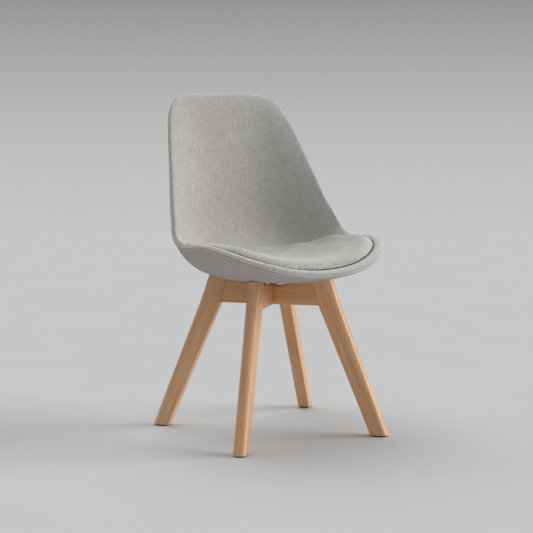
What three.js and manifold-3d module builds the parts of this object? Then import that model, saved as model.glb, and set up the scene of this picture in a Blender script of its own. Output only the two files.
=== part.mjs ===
// Upholstered tulip-shell dining chair on a crossed wooden base.
// Millimetres, +Z up. The chair faces -Y, the floor is z = 0 and the chair's middle plane is x = 0.
import * as THREE from 'three';
import { mergeVertices } from 'three/addons/utils/BufferGeometryUtils.js';
import Module from 'manifold-3d';

const wasm = await Module();
wasm.setup();

// Overall sizes
const overallHeight = 825;
const seatHalfWidth = 240;
const frontReach = 262.5;
const backReach = 255.5;
const wingLift = 153;

// Crossed base
const footRadius = 275.5;
const legShoulderRadius = 150.5;
const baseOffset = 1.5;
const railBottomHeight = 313;
const railMiddleDepth = 44;
const railThickness = 22;
const legThickness = 30;
const legInnerEdgeRadius = 3;
const legOuterEdgeRadius = 12;
const footWidth = 41;
const legShoulderWidth = 52.4;
// How far each foot stands to the side of its arm, away from the middle plane
const rearFootSpread = 23;
const frontFootSpread = -3;
const railEdgeRadius = 2;
const footPadLength = 34;
const footPadWidth = 23;
const footPadThickness = 2.5;
const footPadCorner = 8;

// Clearances
const fitGap = 0.3;
const cutOverrun = 12;
const shellClearance = 12.5;
const legTopClearance = 1.5;
const landClearance = 2.5;
const bossRecess = 1;
const holeClearance = 0.6;

// Layers of the shell, measured from the middle of the moulded core
const coreThickness = 5;
const innerFoamThickness = 7;
const outerCoverThickness = 6.7;
const coverThickness = 1.9;
const foamWrapInset = 14;
const coreInset = 8;
const rimBand = 16;

// Seat pad
const padHalfWidth = 226;
const padHeight = 29;

// Fasteners and their holes
const screwCircleRadius = 75;
const screwDiameter = 6;
const screwHeadDiameter = 10;
const screwHeadHeight = 6;
const hexKeyWidth = 5;
const hexKeyDepth = 3;
const counterboreDepth = 22;
const washerDiameter = 12.4;
const washerThickness = 1.4;
const insertDiameter = 9;
const insertLength = 8;
const bossDiameter = 20;
const spacerDiameter = 18;
const coverHoleDiameter = 26;
const landLength = 26;
const dowelDiameter = 8;
const dowelLength = 40;
const lapScrewDiameter = 4;
const lapScrewLength = 38;
const lapScrewHeadDiameter = 8;
const lapScrewHeadHeight = 3.5;

// Stations run along the spine from the front edge to the top edge. The shares of each are of
// the reach, the rise, the seat's half width and the wing's lift.
const spineReachShares = [-1, -0.718, -0.375, 0.006, 0.322, 0.565, 0.723, 0.829, 0.914, 1];
const spineRiseShares = [0.074, 0.038, 0.0135, 0.006, 0.0315, 0.119, 0.262, 0.486, 0.751, 1];
const halfWidthShares = [0.942, 0.983, 0.996, 0.992, 0.973, 0.945, 0.92, 0.847, 0.744, 0.624];
const liftShares = [0.6, 0.607, 0.597, 0.6, 0.787, 0.969, 1, 0.927, 0.798, 0.612];
// Power of each cross curve: 2 is round, a higher one has a flatter middle and steeper sides
const crossPowers = [2.3, 2.4, 2.7, 3.45, 4.4, 4.1, 3.4, 2.6, 2.85, 3.5];
// How far the inner cover turns past the rim's outermost line: shares of a quarter turn
const hemTurnShares = [0.6, 0.42, 0.36, 0.72, 0.8, 0.8, 0.8, 0.8, 0.8, 0.8];
const lastStation = spineReachShares.length - 1;
const seatLowStation = 3;

// Where the outline rounds off at the front and at the top: shares of the spine's stations.
// A higher power is squarer.
const frontRoundShare = 0.2633;
const frontRoundPower = 2.35;
const topRoundShare = 0.1022;
const topRoundPower = 3.59;
const ribCentreShares = [0.1333, 0.9111];

// The pad's outline, in the same shares
const padCentreShare = 0.3111;
const padFrontShare = 0.2667;
const padRearShare = 0.2333;
const padOutlinePower = 2.9;

// The joint face between rail and leg leans by this much of its height
const jointLeanShare = 0.303;
const dowelHeightShares = [0.28, 0.7];
const armAngles = [Math.PI / 4, 3 * Math.PI / 4, 5 * Math.PI / 4, 7 * Math.PI / 4];
const armNames = ['rear_left', 'rear_right', 'front_right', 'front_left'];
const armFootShifts = [-rearFootSpread, rearFootSpread, -frontFootSpread, frontFootSpread];

// The pad's section from its middle to its hem: shares of its half width and of its height.
// The hem starts under the seat's face and is cut to it.
const padSectionShares = [
  [0, 1], [0.35, 0.99], [0.62, 0.96], [0.8, 0.9], [0.9, 0.84],
  [0.96, 0.7], [0.99, 0.45], [1, 0.2], [0.985, -0.15],
];
const padBaseShares = [0, 0.3, 0.55, 0.8];
// How much lower the pad is at the middle of its rear edge
const padRearDropShare = 0.5;

// Mesh density
const ribsPerSide = 30;
const turnSpacing = 60;
const rollSteps = 5;
const underRollSteps = 2;
const padRibs = 40;
const edgeSteps = 3;
const innerRingShares = [0, 0.3, 0.55, 0.77, 0.92, 1];
const stationStep = 0.004;
const rimSamples = 800;
const mergeDistance = fitGap / 100;

// Colours
const linenColour = 0xb5b0a9;
const underColour = 0xa39c99;
const beechColour = 0xc79a6b;
const plasticColour = 0x26262a;
const foamColour = 0xe6dcb8;
const rubberColour = 0x1c1c1d;
const steelColour = 0x9a9da1;
const brassColour = 0xb08d4a;
const dowelColour = 0xd8b98c;

const halfCore = coreThickness / 2;
const innerFoamFace = halfCore + fitGap + innerFoamThickness;
const innerFace = innerFoamFace + fitGap + coverThickness;
const outerFace = halfCore + fitGap + outerCoverThickness;
const rollRadius = (innerFace + outerFace) / 2;
const rollMiddle = (innerFace - outerFace) / 2;
const quarterTurn = Math.PI / 2;

const shellLowHeight = railBottomHeight + railMiddleDepth + shellClearance + outerFace;

// Shell surface

function lawAlongSpine(values) {
  const curve = new THREE.SplineCurve(values.map((value, station) => new THREE.Vector2(station, value)));
  return (station) => curve.getPoint(station / lastStation).y;
}

const spine = new THREE.SplineCurve(spineReachShares.map((share, station) => new THREE.Vector2(
  share * (share < 0 ? frontReach : backReach),
  shellLowHeight + spineRiseShares[station] * (overallHeight - shellLowHeight),
)));
const plainHalfWidth = lawAlongSpine(halfWidthShares.map((share) => share * seatHalfWidth));
const liftAt = lawAlongSpine(liftShares.map((share) => share * wingLift));
const crossPowerAt = lawAlongSpine(crossPowers);
const hemTurnAt = lawAlongSpine(hemTurnShares);

// Share of the full width that is left at a share of the way from a rounded end
function endRounding(way, roundShare, power) {
  const beyond = Math.max(0, 1 - way / roundShare);
  return (1 - beyond ** power) ** (1 / power);
}

function halfWidthAt(station) {
  const way = station / lastStation;
  return plainHalfWidth(station)
    * endRounding(way, frontRoundShare, frontRoundPower)
    * endRounding(1 - way, topRoundShare, topRoundPower);
}

// Point on the middle of the moulded core
function corePoint(across, station) {
  const here = spine.getPoint(station / lastStation);
  const ahead = spine.getPoint(Math.min(station + stationStep, lastStation) / lastStation);
  const behind = spine.getPoint(Math.max(station - stationStep, 0) / lastStation);
  const along = ahead.sub(behind).normalize();
  const lift = liftAt(station) * Math.abs(across / seatHalfWidth) ** crossPowerAt(station);
  return new THREE.Vector3(across, here.x - along.y * lift, here.y + along.x * lift);
}

// Point at a distance from the core's middle, positive towards the sitter
function shellPoint(across, station, offset) {
  const acrossStep = seatHalfWidth * stationStep;
  const sideways = corePoint(across + acrossStep, station).sub(corePoint(across - acrossStep, station));
  const forwards = corePoint(across, Math.min(station + stationStep, lastStation))
    .sub(corePoint(across, Math.max(station - stationStep, 0)));
  const normal = sideways.cross(forwards).normalize();
  return corePoint(across, station).addScaledVector(normal, offset);
}

// Height of a layer of the shell over a place on the floor
function shellHeight(x, y, offset) {
  const stationLength = frontReach / seatLowStation;
  let across = x;
  let station = seatLowStation;
  let point = shellPoint(across, station, offset);
  for (let pass = 0; pass < 30; pass += 1) {
    across += x - point.x;
    station += (y - point.y) / stationLength;
    point = shellPoint(across, station, offset);
  }
  return point.z;
}

// Ribs run from the spine out to points on the rim, which stand closer where the rim turns
function makeRibs() {
  const samples = [];
  for (let i = 0; i <= rimSamples; i += 1) {
    const station = lastStation * (1 - Math.cos(Math.PI * i / rimSamples)) / 2;
    const point = corePoint(halfWidthAt(station), station);
    const before = samples[i - 1] ?? { point, length: 0 };
    const step = point.clone().sub(before.point);
    const turn = before.step?.lengthSq() > 0 ? step.angleTo(before.step) : 0;
    samples.push({ station, point, step, length: before.length + step.length() + turn * turnSpacing });
  }
  const side = [];
  let next = 0;
  for (let i = 0; i <= ribsPerSide; i += 1) {
    const wanted = samples[rimSamples].length * i / ribsPerSide;
    while (next < rimSamples && samples[next].length < wanted) next += 1;
    const { station } = samples[next];
    const centre = lastStation * THREE.MathUtils.lerp(...ribCentreShares, i / ribsPerSide);
    side.push({ across: halfWidthAt(station), station, centre });
  }
  const mirrored = side.slice(1, -1).reverse().map((rib) => ({ ...rib, across: -rib.across }));
  const ribs = [...side, ...mirrored];
  for (const rib of ribs) {
    const near = 1 - stationStep;
    rib.reach = ribMiddle(rib, 1).distanceTo(ribMiddle(rib, near)) / (1 - near);
  }
  return ribs;
}

function ribPlace(rib, share) {
  return [rib.across * share, THREE.MathUtils.lerp(rib.centre, rib.station, share)];
}

function ribMiddle(rib, share) {
  return corePoint(...ribPlace(rib, share));
}

const ribs = makeRibs();

// Closed surface over rings of points, out from the middle on the face and back on the lining.
// Squares of points are split the same way on both, and mirrored from one side to the other.
function skin(face, lining) {
  const rings = [...face, ...lining.toReversed()];
  const around = rings[0].length;
  const vertices = rings.flat().flatMap((point) => point.toArray());
  const faces = [];
  for (let ring = 0; ring < rings.length - 1; ring += 1) {
    for (let i = 0; i < around; i += 1) {
      const a = ring * around + i;
      const b = ring * around + (i + 1) % around;
      const [c, d] = [a + around, b + around];
      const outwards = ring < face.length;
      const rightSide = i < around / 2;
      if (outwards === rightSide) faces.push(a, b, d, a, d, c);
      else faces.push(a, b, c, b, d, c);
    }
  }
  const geometry = new THREE.BufferGeometry();
  geometry.setAttribute('position', new THREE.Float32BufferAttribute(vertices, 3));
  geometry.setIndex(faces);
  return outwardFacing(dropFlatFaces(mergeVertices(geometry, mergeDistance)));
}

// Faces that lost a corner to merging go
function dropFlatFaces(geometry) {
  const index = geometry.getIndex().array;
  const kept = [];
  for (let i = 0; i < index.length; i += 3) {
    const [a, b, c] = [index[i], index[i + 1], index[i + 2]];
    if (a !== b && b !== c && c !== a) kept.push(a, b, c);
  }
  geometry.setIndex(kept);
  return geometry;
}

function outwardFacing(geometry) {
  const position = geometry.getAttribute('position');
  const index = geometry.getIndex();
  const [a, b, c] = [new THREE.Vector3(), new THREE.Vector3(), new THREE.Vector3()];
  let volume = 0;
  for (let i = 0; i < index.count; i += 3) {
    a.fromBufferAttribute(position, index.getX(i));
    b.fromBufferAttribute(position, index.getX(i + 1));
    c.fromBufferAttribute(position, index.getX(i + 2));
    volume += a.dot(b.cross(c));
  }
  if (volume < 0) index.array.reverse();
  return geometry;
}

// Rings of points for a section along each rib: { ring, offset } on the inner rings and
// { inset, offset } near the rim, or a function that gives one of these for a rib
function layerRings(section) {
  return section.map((entry) => ribs.map((rib) => {
    const { ring, inset, offset } = typeof entry === 'function' ? entry(rib) : entry;
    const share = inset === undefined ? ring * (1 - rimBand / rib.reach) : 1 - inset / rib.reach;
    return shellPoint(...ribPlace(rib, share), offset);
  }));
}

function layer(face, lining) {
  return skin(layerRings(face), layerRings(lining));
}

function innerRings(offset) {
  return innerRingShares.map((ring) => ({ ring, offset }));
}

// Steps round the edge of a layer between two angles. A quarter turn up is the sitter's side and
// a quarter turn down is the outside.
function roll(radius, from, to, steps) {
  return Array.from({ length: steps + 1 }, (unused, i) => (rib) => {
    const angle = THREE.MathUtils.lerp(from(rib), to(rib), i / steps);
    return { inset: rollRadius - radius * Math.cos(angle), offset: rollMiddle + radius * Math.sin(angle) };
  });
}

function hemAngle(rib) {
  return -hemTurnAt(rib.station) * quarterTurn;
}

// Round edge from the sitter's side to the hem of the inner cover
function insideRoll(radius) {
  return roll(radius, () => quarterTurn, hemAngle, rollSteps);
}

// Round edge from the outside up to the hem
function outsideRoll(radius) {
  return roll(radius, () => -quarterTurn, (rib) => hemAngle(rib) - fitGap / rollRadius, underRollSteps);
}

// Booleans

function toSolid(geometry) {
  const bare = geometry.clone();
  bare.deleteAttribute('normal');
  bare.deleteAttribute('uv');
  const merged = dropFlatFaces(mergeVertices(bare, mergeDistance));
  const vertProperties = new Float32Array(merged.getAttribute('position').array);
  return new wasm.Manifold(new wasm.Mesh({
    numProp: 3, vertProperties, triVerts: new Uint32Array(merged.getIndex().array),
  }));
}

function toGeometry(solid) {
  const { vertProperties, triVerts } = solid.getMesh();
  const geometry = new THREE.BufferGeometry();
  geometry.setAttribute('position', new THREE.Float32BufferAttribute(vertProperties, 3));
  geometry.setIndex([...triVerts]);
  return geometry;
}

function cut(geometry, tools) {
  return toGeometry(tools.reduce((solid, tool) => solid.subtract(toSolid(tool)), toSolid(geometry)));
}

function join(geometry, additions) {
  return toGeometry(additions.reduce((solid, addition) => solid.add(toSolid(addition)), toSolid(geometry)));
}

// Upright cylinder between two heights
function post(diameter, bottom, top, x = 0, y = 0, sides = 12) {
  return new THREE.CylinderGeometry(diameter / 2, diameter / 2, top - bottom, sides)
    .rotateX(Math.PI / 2)
    .translate(x, y, (top + bottom) / 2);
}

// Flat ring with a square section
function ringGeometry(outerDiameter, innerDiameter, bottom, top, sides = 12) {
  const [inner, outer] = [innerDiameter / 2, outerDiameter / 2];
  const section = [[inner, bottom], [outer, bottom], [outer, top], [inner, top], [inner, bottom]];
  const profile = section.map(([r, z]) => new THREE.Vector2(r, z));
  return new THREE.LatheGeometry(profile, sides).rotateX(Math.PI / 2);
}

// Outline in a leg's upright plane, x away from the middle and y up, given a thickness about y = 0
function uprightSlab(shape, thickness, edgeRadius = 0) {
  const geometry = new THREE.ExtrudeGeometry(shape, {
    depth: thickness - 2 * edgeRadius,
    bevelEnabled: edgeRadius > 0,
    bevelThickness: edgeRadius,
    bevelSize: edgeRadius,
    bevelOffset: -edgeRadius,
    bevelSegments: 2,
    curveSegments: 8,
  });
  return geometry.translate(0, 0, edgeRadius - thickness / 2).rotateX(Math.PI / 2);
}

function polygon(corners) {
  return new THREE.Shape(corners.map(([x, y]) => new THREE.Vector2(x, y)));
}

// Upright plane of a leg: the radius of each of its faces at a height

const railTopHeight = railBottomHeight + railMiddleDepth;
const leanHeight = (railBottomHeight + railTopHeight) / 2;

function jointRadiusAt(height) {
  return legShoulderRadius - legShoulderWidth / 2 - jointLeanShare * (height - railBottomHeight);
}

function legInnerRadiusAt(height) {
  const foot = footRadius - footWidth / 2;
  if (height > railBottomHeight) return jointRadiusAt(height);
  return THREE.MathUtils.lerp(foot, jointRadiusAt(railBottomHeight), height / railBottomHeight);
}

function legOuterRadiusAt(height) {
  const foot = footRadius + footWidth / 2;
  return THREE.MathUtils.lerp(foot, legShoulderRadius + legShoulderWidth / 2, height / railBottomHeight);
}

// Lower of the heights under the shell over the front arm and the rear arm, at a radius
function armUnderside(radius) {
  const side = radius * Math.SQRT1_2;
  return Math.min(
    shellHeight(side, baseOffset - side, -outerFace),
    shellHeight(side, baseOffset + side, -outerFace),
  );
}

const jointTopHeight = armUnderside(jointRadiusAt(railTopHeight)) - legTopClearance;
const jointTopRadius = jointRadiusAt(jointTopHeight);
const legTopOuterRadius = legOuterRadiusAt(jointTopHeight);
const legTopOuterHeight = armUnderside(legTopOuterRadius) - legTopClearance;

const landInnerRadius = screwCircleRadius - landLength / 2;
const landOuterRadius = screwCircleRadius + landLength / 2;
const landHeight = armUnderside(landInnerRadius) - landClearance;
const bossHeight = armUnderside(screwCircleRadius) + bossRecess;
const bearingHeight = railBottomHeight + counterboreDepth;
const insertTopHeight = bossHeight + insertLength;

// Tool that takes away all that lies past the joint face, on the side of positive radius
function beyondJoint(gap) {
  const low = railBottomHeight - cutOverrun;
  const high = jointTopHeight + cutOverrun;
  const far = legOuterRadiusAt(low) + cutOverrun;
  return uprightSlab(polygon([
    [jointRadiusAt(low) - gap, low], [far, low], [far, high], [jointRadiusAt(high) - gap, high],
  ]), legThickness + cutOverrun);
}

// A leg's level outline at a height: its outer edges are the rounder ones
function legSection(height) {
  const [near, far, half] = [legInnerRadiusAt(height), legOuterRadiusAt(height), legThickness / 2];
  const [r, R] = [legInnerEdgeRadius, legOuterEdgeRadius];
  const corners = [
    { x: far - R, y: half - R, radius: R },
    { x: near + r, y: half - r, radius: r },
    { x: near + r, y: r - half, radius: r },
    { x: far - R, y: R - half, radius: R },
  ];
  const points = [];
  corners.forEach(({ x, y, radius }, quarter) => {
    for (let i = 0; i <= edgeSteps; i += 1) {
      const angle = (quarter + i / edgeSteps) * Math.PI / 2;
      points.push(new THREE.Vector3(x + radius * Math.cos(angle), y + radius * Math.sin(angle), height));
    }
  });
  return points;
}

function loft(sections) {
  const middleOf = (section) => {
    const middle = section.reduce((sum, point) => sum.add(point), new THREE.Vector3());
    return section.map(() => middle.clone().divideScalar(section.length));
  };
  return skin([middleOf(sections[0]), ...sections], [middleOf(sections.at(-1))]);
}

// Leans a leg or its pad sideways about the height of the joint, by so much at the floor
function leaned(geometry, footShift) {
  const shear = new THREE.Matrix4().makeShear(0, 0, 0, 0, 0, -footShift / leanHeight);
  return geometry.applyMatrix4(shear).translate(0, footShift, 0);
}

function leg(footShift) {
  const low = -cutOverrun;
  const high = Math.max(jointTopHeight, legTopOuterHeight) + cutOverrun;
  const blank = leaned(loft([low, railBottomHeight, high].map(legSection)), footShift);
  const soleHeight = footPadThickness + fitGap;
  const wide = legThickness + 2 * Math.abs(footShift) + cutOverrun;
  const belowSole = uprightSlab(polygon([
    [legInnerRadiusAt(0) - cutOverrun, 2 * low], [legOuterRadiusAt(0) + cutOverrun, 2 * low],
    [legOuterRadiusAt(0) + cutOverrun, soleHeight], [legInnerRadiusAt(0) - cutOverrun, soleHeight],
  ]), wide);
  const topSlope = (legTopOuterHeight - jointTopHeight) / (legTopOuterRadius - jointTopRadius);
  const topHeightAt = (radius) => jointTopHeight + topSlope * (radius - jointTopRadius);
  const inside = jointTopRadius - 2 * cutOverrun;
  const outside = legTopOuterRadius + 2 * cutOverrun;
  const aboveTop = uprightSlab(polygon([
    [inside, topHeightAt(inside)], [outside, topHeightAt(outside)],
    [outside, high + 2 * cutOverrun], [inside, high + 2 * cutOverrun],
  ]), wide);
  return cut(blank, [belowSole, aboveTop, ...dowelHoles()]);
}

// Dowels stand square to the joint face
function dowelRod(share, diameter, length) {
  const height = THREE.MathUtils.lerp(railBottomHeight, jointTopHeight, share);
  return new THREE.CylinderGeometry(diameter / 2, diameter / 2, length, 12)
    .rotateZ(-Math.PI / 2)
    .rotateY(-Math.atan(jointLeanShare))
    .translate(jointRadiusAt(height) - fitGap / 2, 0, height);
}

function dowelHoles() {
  const [diameter, length] = [dowelDiameter + 2 * fitGap, dowelLength + 2 * fitGap];
  return dowelHeightShares.map((share) => dowelRod(share, diameter, length));
}

function turned(geometry) {
  return geometry.clone().rotateZ(Math.PI);
}

// Rail between two legs, with a dished top that clears the bowl of the shell
function plainRail() {
  const end = jointTopRadius + cutOverrun;
  const outline = new THREE.Shape();
  outline.moveTo(-jointRadiusAt(railBottomHeight) - cutOverrun, railBottomHeight);
  outline.lineTo(jointRadiusAt(railBottomHeight) + cutOverrun, railBottomHeight);
  outline.lineTo(end, jointTopHeight);
  outline.lineTo(jointTopRadius, jointTopHeight);
  outline.lineTo(landOuterRadius, landHeight);
  outline.lineTo(landInnerRadius, landHeight);
  outline.quadraticCurveTo(0, 2 * railTopHeight - landHeight, -landInnerRadius, landHeight);
  outline.lineTo(-landOuterRadius, landHeight);
  outline.lineTo(-jointTopRadius, jointTopHeight);
  outline.lineTo(-end, jointTopHeight);
  const oneEnd = [
    beyondJoint(fitGap),
    ...dowelHoles(),
    post(screwDiameter + 2 * holeClearance, railBottomHeight, overallHeight, screwCircleRadius),
    post(
      washerDiameter + 2 * holeClearance, railBottomHeight - cutOverrun, bearingHeight, screwCircleRadius,
    ),
  ];
  const lapHole = post(lapScrewDiameter + 2 * fitGap, 0, railBottomHeight + lapScrewLength + fitGap);
  return cut(
    uprightSlab(outline, railThickness, railEdgeRadius),
    [...oneEnd, ...oneEnd.map(turned), lapHole],
  );
}

function lapNotch(bottom, top) {
  const width = railThickness + 2 * fitGap;
  const reach = railThickness + cutOverrun;
  return new THREE.BoxGeometry(width, reach, top - bottom).translate(0, 0, (top + bottom) / 2);
}

const lapHeight = railBottomHeight + railMiddleDepth / 2;

function upperRail() {
  return cut(plainRail(), [lapNotch(railBottomHeight - cutOverrun, lapHeight + fitGap / 2)]);
}

function lowerRail() {
  const headRoom = post(
    lapScrewHeadDiameter + 2 * fitGap,
    railBottomHeight - cutOverrun,
    railBottomHeight + lapScrewHeadHeight + 2 * fitGap,
  );
  return cut(plainRail(), [lapNotch(lapHeight - fitGap / 2, railTopHeight + cutOverrun), headRoom]);
}

// Round-cornered plate under a foot
function footPad(footShift) {
  const [x, y, r] = [footPadLength / 2, footPadWidth / 2, footPadCorner];
  const outline = new THREE.Shape();
  outline.absarc(x - r, y - r, r, 0, Math.PI / 2);
  outline.absarc(r - x, y - r, r, Math.PI / 2, Math.PI);
  outline.absarc(r - x, r - y, r, Math.PI, 1.5 * Math.PI);
  outline.absarc(x - r, r - y, r, 1.5 * Math.PI, 2 * Math.PI);
  const depth = footPadThickness;
  return new THREE.ExtrudeGeometry(outline, { depth, bevelEnabled: false, curveSegments: 2 })
    .translate((legInnerRadiusAt(0) + legOuterRadiusAt(0)) / 2, footShift, 0);
}

// Screw that stands head down, with a socket in its head
function socketScrew({ diameter, headDiameter, headHeight, keyWidth, keyDepth, bottom, tip }, x = 0) {
  const headTop = bottom + headHeight;
  const head = post(headDiameter, bottom, headTop, x);
  const shank = post(diameter, headTop - fitGap, tip, x);
  const socket = post(keyWidth / Math.cos(Math.PI / 6), bottom - cutOverrun, bottom + keyDepth, x, 0, 6);
  return cut(join(head, [shank]), [socket]);
}

function shellScrew() {
  return socketScrew({
    diameter: screwDiameter,
    headDiameter: screwHeadDiameter,
    headHeight: screwHeadHeight,
    keyWidth: hexKeyWidth,
    keyDepth: hexKeyDepth,
    bottom: bearingHeight - washerThickness - 2 * fitGap - screwHeadHeight,
    tip: insertTopHeight,
  }, screwCircleRadius);
}

function lapScrew() {
  return socketScrew({
    diameter: lapScrewDiameter,
    headDiameter: lapScrewHeadDiameter,
    headHeight: lapScrewHeadHeight,
    keyWidth: lapScrewDiameter,
    keyDepth: lapScrewHeadHeight / 2,
    bottom: railBottomHeight + fitGap,
    tip: railBottomHeight + lapScrewLength,
  });
}

function screwWasher() {
  const bottom = bearingHeight - fitGap - washerThickness;
  return ringGeometry(washerDiameter, screwDiameter + 2 * fitGap, bottom, bottom + washerThickness)
    .translate(screwCircleRadius, 0, 0);
}

function shellSpacer() {
  return ringGeometry(spacerDiameter, screwDiameter + 2 * fitGap, landHeight + fitGap, bossHeight - fitGap)
    .translate(screwCircleRadius, 0, 0);
}

function shellInsert() {
  return ringGeometry(insertDiameter, screwDiameter + 2 * fitGap, bossHeight, insertTopHeight)
    .translate(screwCircleRadius, 0, 0);
}

// Upholstered shell

function onEachArm(make) {
  return armAngles.map((angle) => {
    const x = screwCircleRadius * Math.cos(angle);
    const y = baseOffset + screwCircleRadius * Math.sin(angle);
    return make(x, y);
  });
}

function shellCore() {
  const sheet = layer(
    [...innerRings(halfCore), { inset: coreInset, offset: halfCore }],
    [...innerRings(-halfCore), { inset: coreInset, offset: -halfCore }],
  );
  const bosses = onEachArm((x, y) => post(bossDiameter, bossHeight, shellHeight(x, y, 0), x, y));
  const pockets = onEachArm((x, y) => post(
    insertDiameter + 2 * fitGap, bossHeight - cutOverrun, insertTopHeight + fitGap, x, y,
  ));
  return cut(join(sheet, bosses), pockets);
}

// Foam over the core, wrapped round its edge
function innerFoam() {
  const overCore = halfCore + fitGap;
  const foamRadius = rollRadius - coverThickness - fitGap;
  const face = [...innerRings(innerFoamFace), ...insideRoll(foamRadius)];
  const lining = [
    ...innerRings(overCore),
    { inset: coreInset - fitGap, offset: overCore },
    { inset: coreInset - fitGap, offset: -overCore },
    { inset: foamWrapInset, offset: -overCore },
    { inset: foamWrapInset, offset: coverThickness + fitGap - outerFace },
    ...outsideRoll(foamRadius).slice(0, -1),
  ];
  return layer(face, lining);
}

function innerCover() {
  const faceAt = (depth) => [...innerRings(innerFace - depth), ...insideRoll(rollRadius - depth)];
  return layer(faceAt(0), faceAt(coverThickness));
}

// The outer cover is padded up to the wrapped foam, and a bare cloth from there to the hem
function outerCover() {
  const underCore = -halfCore - fitGap;
  const step = foamWrapInset + fitGap;
  const sheet = layer(
    [
      ...innerRings(underCore),
      { inset: step, offset: underCore },
      { inset: step, offset: coverThickness - outerFace },
      ...outsideRoll(rollRadius - coverThickness),
    ],
    [...innerRings(-outerFace), ...outsideRoll(rollRadius)],
  );
  const holes = onEachArm((x, y) => post(
    coverHoleDiameter, bossHeight - 2 * cutOverrun, bossHeight + cutOverrun, x, y,
  ));
  return cut(sheet, holes);
}

// Seat pad: a crowned section swept round a squared-off oval that lies in the bowl

const padAngles = Array.from({ length: padRibs }, (unused, i) => 2 * Math.PI * (i / padRibs - 0.25));

// The section at an angle, moved in by a thickness with its foot kept on the seat
function padSection(angle, thickness) {
  const rear = Math.max(0, Math.sin(angle));
  const section = padSectionShares.map(([out, up]) => new THREE.Vector2(
    out * padHalfWidth,
    up * padHeight * (1 - padRearDropShare * (rear * out) ** 2),
  ));
  return section.map((point, i) => {
    if (i === 0) return new THREE.Vector2(0, point.y - thickness);
    if (i === section.length - 1) return new THREE.Vector2(point.x - thickness, point.y);
    const along = section[i + 1].clone().sub(section[i - 1]).normalize();
    return new THREE.Vector2(point.x + along.y * thickness, point.y - along.x * thickness);
  });
}

function padPoint(angle, out, up) {
  const square = (value) => Math.sign(value) * Math.abs(value) ** (2 / padOutlinePower);
  const share = out / padHalfWidth;
  const reachShare = Math.sin(angle) < 0 ? padFrontShare : padRearShare;
  const across = padHalfWidth * square(Math.cos(angle)) * share;
  const station = lastStation * (padCentreShare + reachShare * square(Math.sin(angle)) * share);
  return shellPoint(across, station, innerFace + fitGap + up);
}

// Rings of points through one section for each angle
function padRings(sections) {
  return sections[0].map((unused, k) => padAngles.map(
    (angle, i) => padPoint(angle, sections[i][k].x, sections[i][k].y),
  ));
}

function padCrown(thickness) {
  return padAngles.map((angle) => padSection(angle, thickness));
}

// What the pad may not fill: the shell and a gap over the cloth of the seat
function seatTool() {
  const offset = innerFace + fitGap;
  return layer([...innerRings(offset), { inset: coreInset, offset }], innerRings(0));
}

function padCover() {
  return cut(skin(padRings(padCrown(0)), padRings(padCrown(coverThickness))), [seatTool()]);
}

function padFoam() {
  const crown = padCrown(coverThickness + fitGap);
  const underside = crown.map((section) => {
    const foot = section.at(-1);
    return padBaseShares.map((share) => new THREE.Vector2(share * foot.x, foot.y));
  });
  return cut(skin(padRings(crown), padRings(underside)), [seatTool()]);
}

// Assembly

const finishes = {
  linen: new THREE.MeshStandardMaterial({ color: linenColour, roughness: 0.95 }),
  under: new THREE.MeshStandardMaterial({ color: underColour, roughness: 0.9 }),
  foam: new THREE.MeshStandardMaterial({ color: foamColour, roughness: 1 }),
  beech: new THREE.MeshStandardMaterial({ color: beechColour, roughness: 0.55 }),
  dowel: new THREE.MeshStandardMaterial({ color: dowelColour, roughness: 0.7 }),
  plastic: new THREE.MeshStandardMaterial({ color: plasticColour, roughness: 0.6 }),
  rubber: new THREE.MeshStandardMaterial({ color: rubberColour, roughness: 0.9 }),
  steel: new THREE.MeshStandardMaterial({ color: steelColour, roughness: 0.35, metalness: 1 }),
  brass: new THREE.MeshStandardMaterial({ color: brassColour, roughness: 0.4, metalness: 1 }),
};

function piece(name, geometry, finish) {
  const mesh = new THREE.Mesh(geometry, finish.clone());
  mesh.name = name;
  return mesh;
}

const chair = new THREE.Group();
chair.add(
  piece('shell_core', shellCore(), finishes.plastic),
  piece('inner_foam', innerFoam(), finishes.foam),
  piece('inner_cover', innerCover(), finishes.linen),
  piece('outer_cover', outerCover(), finishes.under),
  piece('pad_foam', padFoam(), finishes.foam),
  piece('pad_cover', padCover(), finishes.linen),
);

const base = new THREE.Group();
base.position.y = baseOffset;
chair.add(base);

const upper = piece('rail_upper', upperRail(), finishes.beech);
upper.rotation.z = armAngles[0];
const lower = piece('rail_lower', lowerRail(), finishes.beech);
lower.rotation.z = armAngles[1];
base.add(upper, lower, piece('lap_screw', lapScrew(), finishes.steel));

armAngles.forEach((angle, i) => {
  const arm = new THREE.Group();
  const place = armNames[i];
  const footShift = armFootShifts[i];
  arm.rotation.z = angle;
  arm.add(
    piece(`leg_${place}`, leg(footShift), finishes.beech),
    piece(`foot_pad_${place}`, footPad(footShift), finishes.rubber),
    piece(`shell_screw_${place}`, shellScrew(), finishes.steel),
    piece(`screw_washer_${place}`, screwWasher(), finishes.steel),
    piece(`shell_spacer_${place}`, shellSpacer(), finishes.rubber),
    piece(`shell_insert_${place}`, shellInsert(), finishes.brass),
  );
  dowelHeightShares.forEach((share, level) => {
    const side = level === 0 ? 'low' : 'high';
    arm.add(piece(`dowel_${place}_${side}`, dowelRod(share, dowelDiameter, dowelLength), finishes.dowel));
  });
  base.add(arm);
});

export default chair;
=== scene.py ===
"""Looks of an upholstered tulip-shell dining chair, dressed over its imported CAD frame.

Blender works in metres. The sizes of the part are repeated here in millimetres, as its drawing
gives them, and turned into metres where meshes are made. +Z is up and the chair faces -Y.
"""
import math

import bmesh
import bpy
import numpy as np
from mathutils import Matrix, Vector
from mathutils.kdtree import KDTree

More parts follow.
